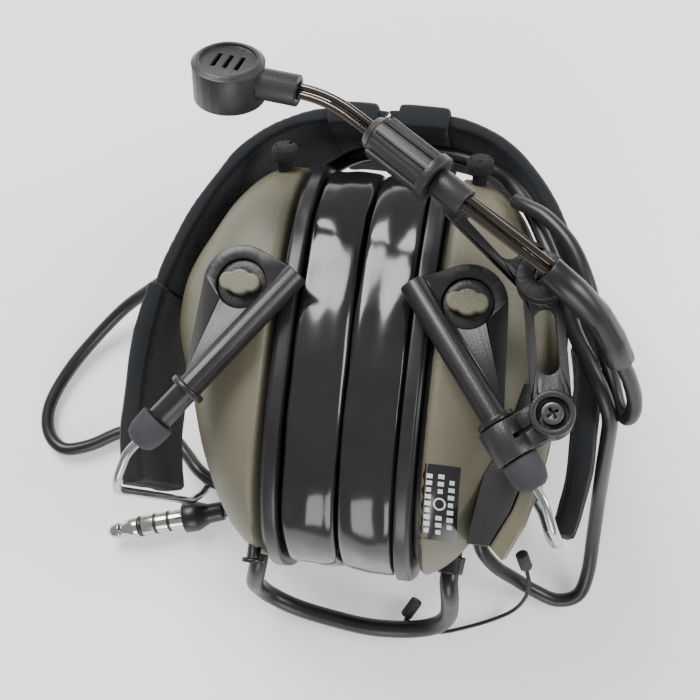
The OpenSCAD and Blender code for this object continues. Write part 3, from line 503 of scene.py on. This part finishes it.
@dataclass
class Cup:
    """A shell, its rim and its cushion."""

    side: Side
    ring: int = 72
    clear: float = 0.12

    def build(self) -> None:
        """Makes the cup's pieces."""
        self.shell()
        self.rim()
        self.cushion()

    def oval(self, x: float, mid: float, half_y: float, half_z: float) -> list[Vector]:
        """A ring of the cup's outline, at x."""
        made = []
        for i in range(self.ring):
            t = 2 * math.pi * i / self.ring
            c, s = math.cos(t), math.sin(t)
            made.append(mm(x * self.side.value, mid + half_y * math.copysign(abs(c) ** 0.8, c),
                           Z_MID + half_z * math.copysign(abs(s) ** 0.8, s)))
        return made

    def loft(self, name: str, rings: list[list[Vector]], closed: bool = False) -> bpy.types.Object:
        """Extrudes a ring from place to place.

        Args:
            name: The piece's name.
            rings: Where the ring's vertices go at each step.
            closed: Whether the last ring meets the first.

        Returns:
            The mesh.
        """
        deselect()
        bpy.ops.mesh.primitive_circle_add(vertices=self.ring, radius=MM,
                                          fill_type="NOTHING" if closed else "NGON")
        obj = bpy.context.object
        obj.name = obj.data.name = name
        for v, place in zip(obj.data.vertices, rings[0]):
            v.co = place
        bpy.ops.object.mode_set(mode="EDIT")
        bpy.ops.mesh.select_mode(type="EDGE")
        bpy.ops.mesh.select_all(action="SELECT")
        for ring in rings[1:]:
            if closed:
                bpy.ops.mesh.extrude_edges_move()
            else:
                bpy.ops.mesh.extrude_region_move()
            bm = bmesh.from_edit_mesh(obj.data)
            bm.verts.ensure_lookup_table()
            for v, place in zip(sorted((v for v in bm.verts if v.select), key=lambda v: v.index), ring):
                v.co = place
            bmesh.update_edit_mesh(obj.data)
        if closed:
            bpy.ops.mesh.select_all(action="DESELECT")
            bpy.ops.mesh.select_mode(type="EDGE")
            bpy.ops.mesh.select_non_manifold()
            bpy.ops.mesh.bridge_edge_loops()
        bpy.ops.mesh.select_all(action="SELECT")
        bpy.ops.mesh.normals_make_consistent(inside=False)
        bpy.ops.object.mode_set(mode="OBJECT")
        return obj

    def shell(self) -> None:
        """The domed shell."""
        fine = []
        for (s0, t0, l0, d0), (s1, t1, l1, d1) in zip(SHELL, SHELL[1:]):
            fine += [(s0, t0, l0, d0), ((s0 + s1) / 2, (t0 + t1) / 2, (l0 + l1) / 2, (d0 + d1) / 2)]
        fine.append(SHELL[-1])
        rings = []
        for s, top, low, deep in fine:
            x = RIM_OUT + (CUP_W - RIM_OUT) * s
            t, l = top * CUP_H / 2, low * CUP_H / 2
            rings.append(self.oval(x, CUP_Y + (t + l) / 2, (t - l) / 2, deep * CUP_D / 2))
        obj = self.loft(f"{self.side.word}_cup_shell", rings)
        modify(obj, "SMOOTH", iterations=2, factor=0.4)
        modify(obj, "SUBSURF", levels=1)
        smooth(obj, 60)
        dress(obj, OLIVE)
        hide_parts(f"{self.side.word}_shell")
        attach(obj, f"{self.side.word}_cup")
        log.info("%s: %d faces", obj.name, len(obj.data.polygons))

    def rim(self) -> None:
        """The satin ring between the shell and the cushion."""
        w = RIM_OUT - RIM_IN
        section = [(0.0, -1.2), (0.3, 0.0), (1.0, 0.0), (w - 1.6, 0.0), (w - 0.9, -0.15), (w - 0.7, -0.8),
                   (w - 0.1, -0.9), (w - 0.1, -10.0), (0.0, -10.0)]
        rings = [self.oval(RIM_IN + dx, CUP_Y, CUP_H / 2 + dr, CUP_D / 2 + dr) for dx, dr in section]
        obj = self.loft(f"{self.side.word}_rim_ring", rings, closed=True)
        modify(obj, "BEVEL", width=0.25 * MM, segments=2, limit_method="ANGLE", use_clamp_overlap=False)
        smooth(obj, 35)
        dress(obj, RIM)
        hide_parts(f"{self.side.word}_rim")
        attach(obj, f"{self.side.word}_cup")

    def cushion(self) -> None:
        """The gel cushion: its section drawn round the ear hole, then blown up inside its film."""
        section = [(14.8, 0.97), (14.3, 0.995), (11.5, 1.006), (8.0, 1.008), (4.8, 1.004), (2.6, 0.996),
                   (1.3, 0.982), (0.6, 0.962), (0.25, 0.93), (0.13, 0.87), (0.12, 0.70), (0.12, 0.45),
                   (0.12, 0.22), (0.2, 0.12), (0.9, 0.04), (3.5, 0.005), (9.0, 0.0), (14.8, 0.0),
                   (14.8, 0.5)]
        rings = [self.oval(x, CUP_Y, 31 + (CUP_H / 2 - 32) * u, 20 + (CUP_D / 2 - 21) * u)
                 for x, u in section]
        obj = self.loft(f"{self.side.word}_gel_cushion", rings, closed=True)
        modify(obj, "SUBSURF", levels=1)
        self.inflate(obj, 0.45 * MM)
        self.crease(obj)
        modify(obj, "SUBSURF", levels=1)
        smooth(obj, 180)
        dress(obj, GEL)
        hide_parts(f"{self.side.word}_cushion")
        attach(obj, f"{self.side.word}_cup")
        log.info("%s: %d faces", obj.name, len(obj.data.polygons))

    def inflate(self, obj: bpy.types.Object, cap: float) -> None:
        """Lets pressure fill the film, and keeps each point near where it was.

        Args:
            obj: The closed mesh.
            cap: How far a point may move, in metres.
        """
        start = [v.co.copy() for v in obj.data.vertices]
        only(obj)
        mod = obj.modifiers.new("film", "CLOTH")
        mod.settings.use_pressure = True
        mod.settings.uniform_pressure_force = 4.0
        mod.settings.quality = 5
        mod.settings.mass = 0.15
        mod.settings.tension_stiffness = 25
        mod.settings.compression_stiffness = 25
        mod.settings.bending_stiffness = 0.4
        mod.settings.effector_weights.gravity = 0.0
        mod.collision_settings.use_self_collision = False
        for f in range(1, 13):
            bpy.context.scene.frame_set(f)
        bpy.ops.object.modifier_apply(modifier=mod.name)
        bpy.context.scene.frame_set(1)
        for v, was in zip(obj.data.vertices, start):
            step = v.co - was
            if step.length > cap:
                step = step * (cap / step.length)
            v.co = was + step
        obj.data.update()

    def crease(self, obj: bpy.types.Object) -> None:
        """Puts long slack folds in the film, which run along the seam."""
        sign = self.side.value
        for v in obj.data.vertices:
            at = v.co / MM
            folds = mnoise.noise(Vector((at.x / 4.2, at.y / 26, at.z / 22 + 9 * sign)))
            dents = mnoise.noise(Vector((at.x / 13, at.y / 17, at.z / 15 + 4 * sign)))
            v.co += v.normal * ((0.55 * folds + 0.95 * dents) * MM)
            v.co.x = sign * min(max(v.co.x * sign, self.clear * MM), (RIM_IN - 0.05) * MM)
        obj.data.update()


@dataclass
class Knobs:
    """The three-lobed wing knobs, front and rear, on one cup."""

    side: Side
    low: float = 41.9
    high: float = 45.1

    def build(self) -> None:
        """Makes one knob, rounds it and copies it to the rear."""
        word = self.side.word
        x, y = PIVOT[0] * self.side.value, PIVOT[1]
        deselect()
        made = []
        parts = [(0.0, 3.25, self.high - self.low), (-2.9, 2.35, self.high - self.low),
                 (2.9, 2.35, self.high - self.low)]
        for dx, r, tall in parts:
            bpy.ops.mesh.primitive_cylinder_add(vertices=40, radius=r * MM, depth=tall * MM,
                                                location=mm(x + dx, y, Z_MID + self.low + tall / 2))
            made.append(bpy.context.object)
        bpy.ops.mesh.primitive_cylinder_add(vertices=40, radius=2.5 * MM, depth=6.4 * MM,
                                            location=mm(x, y, Z_MID + 38.6))
        made.append(bpy.context.object)
        deselect()
        for obj in made:
            obj.select_set(True)
        bpy.context.view_layer.objects.active = made[0]
        bpy.ops.object.join()
        knob = settle(bpy.context.object)
        knob.name = knob.data.name = f"{word}_wing_knobs"
        modify(knob, "REMESH", mode="VOXEL", voxel_size=0.28 * MM)
        modify(knob, "SMOOTH", iterations=5, factor=0.5)
        twin = knob.copy()
        twin.data = knob.data.copy()
        bpy.context.scene.collection.objects.link(twin)
        only(twin)
        bpy.ops.transform.mirror(constraint_axis=(False, False, True))
        twin.location.z += 2 * Z_MID * MM
        settle(twin)
        bpy.ops.object.mode_set(mode="EDIT")
        bpy.ops.mesh.select_all(action="SELECT")
        bpy.ops.mesh.normals_make_consistent(inside=False)
        bpy.ops.object.mode_set(mode="OBJECT")
        only(knob)
        twin.select_set(True)
        bpy.ops.object.join()
        smooth(knob, 180)
        dress(knob, OLIVE)
        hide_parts(f"{word}_knobs")
        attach(knob, f"{word}_cup")
        log.info("%s: %d faces", knob.name, len(knob.data.polygons))


@dataclass
class PlugRings:
    """The black insulators between the plug's contacts."""

    start: tuple[float, float, float] = (-48.0, -52.0, 5.0)
    turn: float = 197.0
    places: tuple[tuple[float, float], ...] = ((18.0, 3.37), (22.6, 3.37), (27.8, 3.34))

    def build(self) -> None:
        """Makes the rings as one piece."""
        a = math.radians(self.turn)
        along = Vector((math.cos(a), math.sin(a), 0.0))
        made = []
        for far, r in self.places:
            deselect()
            bpy.ops.mesh.primitive_cylinder_add(vertices=48, radius=r * MM, depth=1.1 * MM,
                                                rotation=(0, math.pi / 2, a),
                                                location=mm(*self.start) + along * far * MM)
            ring = bpy.context.object
            modify(ring, "BEVEL", width=0.1 * MM, segments=2, limit_method="ANGLE")
            made.append(ring)
        deselect()
        for ring in made:
            ring.select_set(True)
        bpy.context.view_layer.objects.active = made[0]
        bpy.ops.object.join()
        rings = settle(bpy.context.object)
        rings.name = rings.data.name = "plug_insulators"
        smooth(rings, 50)
        dress(rings, BLACK)
        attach(rings, "left_side")


@dataclass
class Label:
    """The sticker on the right cup: a black film with a power sign and plain bars."""

    x0: float = 21.4
    x1: float = 31.0
    y0: float = -53.0
    y1: float = -34.5
    lift: float = 0.12

    def patch(self, name: str, box: tuple[float, float, float, float], lift: float, finish: Finish,
              cuts: int = 10) -> bpy.types.Object:
        """Lays a flat patch on the shell's front.

        Args:
            name: The piece's name.
            box: Its lowest and highest X and Y in millimetres.
            lift: How far it stands off the shell, in millimetres.
            finish: Its finish.
            cuts: How finely it is divided.

        Returns:
            The piece.
        """
        deselect()
        x0, y0, x1, y1 = box
        bpy.ops.mesh.primitive_grid_add(x_subdivisions=cuts, y_subdivisions=cuts, size=MM,
                                        location=mm((x0 + x1) / 2, (y0 + y1) / 2, Z_MID + 60))
        obj = bpy.context.object
        obj.scale = (x1 - x0, y1 - y0, 1)
        settle(obj)
        return self.press(obj, name, lift, finish)

    def press(self, obj: bpy.types.Object, name: str, lift: float, finish: Finish) -> bpy.types.Object:
        """Presses a flat piece onto the shell and dresses it."""
        obj.name = obj.data.name = name
        modify(obj, "SHRINKWRAP", target=bpy.data.objects["right_cup_shell"], wrap_method="PROJECT",
               use_project_z=True, use_negative_direction=True, use_positive_direction=False,
               offset=lift * MM)
        modify(obj, "SOLIDIFY", thickness=0.06 * MM, offset=1.0)
        log.info("%s tops out at %.1f mm", name, max(v.co.z for v in obj.data.vertices) / MM)
        smooth(obj, 50)
        dress(obj, finish)
        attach(obj, "right_cup")
        return obj

    def build(self) -> None:
        """Makes the film, the sign and the bars."""
        self.patch("label_film", (self.x0, self.y0, self.x1, self.y1), self.lift, LABEL)
        over = self.lift + 0.09
        rows = [(23.6, -51.4, -36.4), (26.5, -51.6, -46.4), (26.5, -41.6, -36.2), (29.2, -50.2, -37.4)]
        made = []
        for x, low, high in rows:
            count = round((high - low) / 1.75)
            for k in range(count):
                y = low + (k + 0.4) * (high - low) / count
                deselect()
                bpy.ops.mesh.primitive_grid_add(x_subdivisions=2, y_subdivisions=2, size=MM,
                                                location=mm(x, y, Z_MID + 60))
                dash = bpy.context.object
                dash.scale = (1.5 if k % 3 else 1.2, 1.05, 1)
                made.append(dash)
        deselect()
        for dash in made:
            dash.select_set(True)
        bpy.context.view_layer.objects.active = made[0]
        bpy.ops.object.join()
        self.press(settle(bpy.context.object), "label_bars", over, PRINT)
        deselect()
        bpy.ops.mesh.primitive_circle_add(vertices=32, radius=1.55 * MM, fill_type="NOTHING",
                                          location=mm(26.5, -44.0, Z_MID + 60))
        ring = settle(bpy.context.object)
        bpy.ops.object.mode_set(mode="EDIT")
        bpy.ops.mesh.select_all(action="SELECT")
        bpy.ops.mesh.extrude_edges_move()
        bpy.ops.transform.resize(value=(0.74, 0.74, 1.0), center_override=mm(26.5, -44.0, Z_MID + 60))
        bpy.ops.object.mode_set(mode="OBJECT")
        self.press(ring, "label_sign", over, PRINT)


@dataclass
class Band:
    """The cloth headband: strap, sleeves on its ends and pad at the crown."""

    side: Side
    thick: float = 4.2
    wide: float = 40.0
    shoulder_r: float = 38.0
    side_r: float = 103.0
    end_r: float = 78.0
    rest: float = 34.0
    end_turn: float = 17.0
    straight_low: float = CUP_Y - CUP_H / 2 + 40.0
    sleeve_out: float = 0.45

    def arc(self, mid: tuple[float, float], r: float, a0: float, a1: float, step: float = 4.0) -> list:
        """Points on an arc from a0 to a1, in degrees."""
        n = max(1, round(abs(a0 - a1) / step))
        return [(mid[0] + r * math.cos(math.radians(a0 + (a1 - a0) * i / n)),
                 mid[1] + r * math.sin(math.radians(a0 + (a1 - a0) * i / n))) for i in range(n + 1)]

    @property
    def side_mid(self) -> tuple[float, float]:
        """Centre of the side's arc."""
        a = math.radians(self.rest)
        end = (FLAT + self.shoulder_r * math.cos(a), CROWN_Y - self.shoulder_r * (1 - math.sin(a)))
        return (end[0] - self.side_r * math.cos(a), end[1] - self.side_r * math.sin(a))

    def centre(self, start: float) -> list[tuple[float, float]]:
        """The strap's centre line from x = start round to the hem."""
        line = [(start, CROWN_Y)]
        line += self.arc((FLAT, CROWN_Y - self.shoulder_r), self.shoulder_r, 90, self.rest)
        line += self.arc(self.side_mid, self.side_r, self.rest - 4, 0)
        line += self.sleeve_line()[3:]
        return line

    def sleeve_line(self) -> list[tuple[float, float]]:
        """The centre line of the sleeve on the strap's end."""
        low = self.arc((SIDE_X - self.end_r, self.straight_low), self.end_r, 0, -self.end_turn)
        return self.arc(self.side_mid, self.side_r, 12, 0) + low

    def place(self, line: list[tuple[float, float]]) -> list[Vector]:
        """A centre line in metres on this side."""
        return [mm(x * self.side.value, y, Z_MID) for x, y in line]

    def build(self) -> None:
        """Makes the band's pieces."""
        word = self.side.word
        body = "left_side" if self.side is Side.LEFT else "right_arm"
        self.strip(f"{word}_strap", self.centre(0.0), rounded_bar(self.thick, self.wide, 1.6),
                   [f"{word}_band"], body, 0.35)
        line = [(x + self.sleeve_out, y) for x, y in self.sleeve_line()]
        self.strip(f"{word}_sleeve", line, rounded_bar(6.2, 43.6, 2.6),
                   [f"{word}_end_sleeve"], body, 0.5)
        crown = [(2.9, CROWN_Y), (7.0, CROWN_Y), (FLAT, CROWN_Y)]
        crown += self.arc((FLAT, CROWN_Y - self.shoulder_r), self.shoulder_r, 88, 82, 2)
        self.strip(f"{word}_pad", crown, rounded_bar(7.4, 43.2, 2.4), [f"{word}_crown_pad"], body, 0.4)

    def strip(self, name: str, line: list, section: list, nodes: list[str], body: str,
              depth: float) -> None:
        """Sweeps one cloth piece of the band."""
        obj = sweep(name, self.place(line), profile=section, upright=True)
        modify(obj, "REMESH", mode="VOXEL", voxel_size=1.1 * MM)
        modify(obj, "SMOOTH", iterations=3, factor=0.5)
        ripple(obj, 11.0, depth, seed=5.0 * self.side.value)
        smooth(obj, 180)
        dress(obj, CLOTH)
        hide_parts(*nodes)
        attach(obj, body)
        log.info("%s: %d faces", name, len(obj.data.polygons))


@dataclass
class Hardware:
    """The moulded and metal parts that keep their CAD shape, with softened edges."""

    edge: float = 0.28

    def build(self) -> None:
        """Dresses every CAD node."""
        slots = {s["node"]: s["material_slot"] for s in frame["record"]["subparts"]}
        for name, obj in NODES.items():
            dress(obj, BY_SLOT[slots[name]])
            if obj.hide_render:
                continue
            for poly in obj.data.polygons:
                poly.use_smooth = True
            weld = obj.modifiers.new("weld", "WELD")
            weld.merge_threshold = 1e-6
            bevel = obj.modifiers.new("edge", "BEVEL")
            bevel.width = self.width(name) * MM
            bevel.segments = 2
            bevel.limit_method = "ANGLE"
            bevel.angle_limit = math.radians(35)
            bevel.use_clamp_overlap = False
            bevel.harden_normals = True

    def width(self, name: str) -> float:
        """How far a node's edges are rounded, in millimetres."""
        if name in ("clamp_screw", "plug_body", "boom_rods", "collet_nut", "mic_head"):
            return 0.14
        return self.edge


@dataclass
class Studio:
    """Floor, lights and camera."""

    camera_at: tuple[float, float, float] = (49.92, -52.53, 376.45)
    right: tuple[float, float, float] = (0.98144, 0.12049, -0.14917)
    up: tuple[float, float, float] = (-0.09531, 0.98155, 0.16574)
    back: tuple[float, float, float] = (0.16639, -0.14844, 0.97482)
    lens: float = 60.48

    def build(self) -> None:
        """Makes the studio."""
        self.camera()
        self.floor()
        self.light("key", (-0.35, 0.55, 0.75), 0.55, 13.0)
        self.light("fill", (0.75, 0.10, 0.60), 0.40, 5.5)
        self.light("low", (0.10, -0.85, 0.45), 0.50, 4.0)
        world = bpy.data.worlds.new("studio")
        bpy.context.scene.world = world
        world.use_nodes = True
        world.node_tree.nodes["Background"].inputs["Color"].default_value = (1.0, 1.0, 1.0, 1.0)
        world.node_tree.nodes["Background"].inputs["Strength"].default_value = 0.42

    def camera(self) -> None:
        """The camera, at the viewing angle."""
        data = bpy.data.cameras.new("camera")
        data.lens = self.lens
        data.sensor_width = 36.0
        obj = bpy.data.objects.new("camera", data)
        bpy.context.scene.collection.objects.link(obj)
        turn = Matrix((self.right, self.up, self.back)).transposed().to_4x4()
        obj.matrix_world = Matrix.Translation(mm(*self.camera_at)) @ turn
        bpy.context.scene.camera = obj

    def floor(self) -> None:
        """The pale surface under the headset."""
        deselect()
        bpy.ops.mesh.primitive_plane_add(size=6.0, location=(0, 0, -0.0002))
        obj = settle(bpy.context.object)
        obj.name = "floor"
        mat = bpy.data.materials.new("pale_floor")
        mat.use_nodes = True
        mat.node_tree.nodes["Principled BSDF"].inputs["Base Color"].default_value = (0.93, 0.93, 0.93, 1)
        mat.node_tree.nodes["Principled BSDF"].inputs["Roughness"].default_value = 0.9
        mat.node_tree.nodes["Principled BSDF"].inputs["Emission Color"].default_value = (1, 1, 1, 1)
        mat.node_tree.nodes["Principled BSDF"].inputs["Emission Strength"].default_value = 0.4
        obj.data.materials.append(mat)

    def light(self, name: str, at: tuple[float, float, float], size: float, watts: float) -> None:
        """A square soft light that faces the headset."""
        data = bpy.data.lights.new(name, "AREA")
        data.size = size
        data.energy = watts
        obj = bpy.data.objects.new(name, data)
        bpy.context.scene.collection.objects.link(obj)
        obj.location = at
        obj.rotation_mode = "QUATERNION"
        obj.rotation_quaternion = (Vector((0, 0, 0.05)) - Vector(at)).to_track_quat("-Z", "Y")


def main() -> None:
    """Builds everything in order."""
    logging.basicConfig(level=logging.INFO, format="%(message)s")
    Studio().build()
    Leads().build()
    for side in Side:
        Cup(side).build()
        Knobs(side).build()
        Band(side).build()
    Label().build()
    PlugRings().build()
    Hardware().build()


if __name__ == "__main__":
    main()
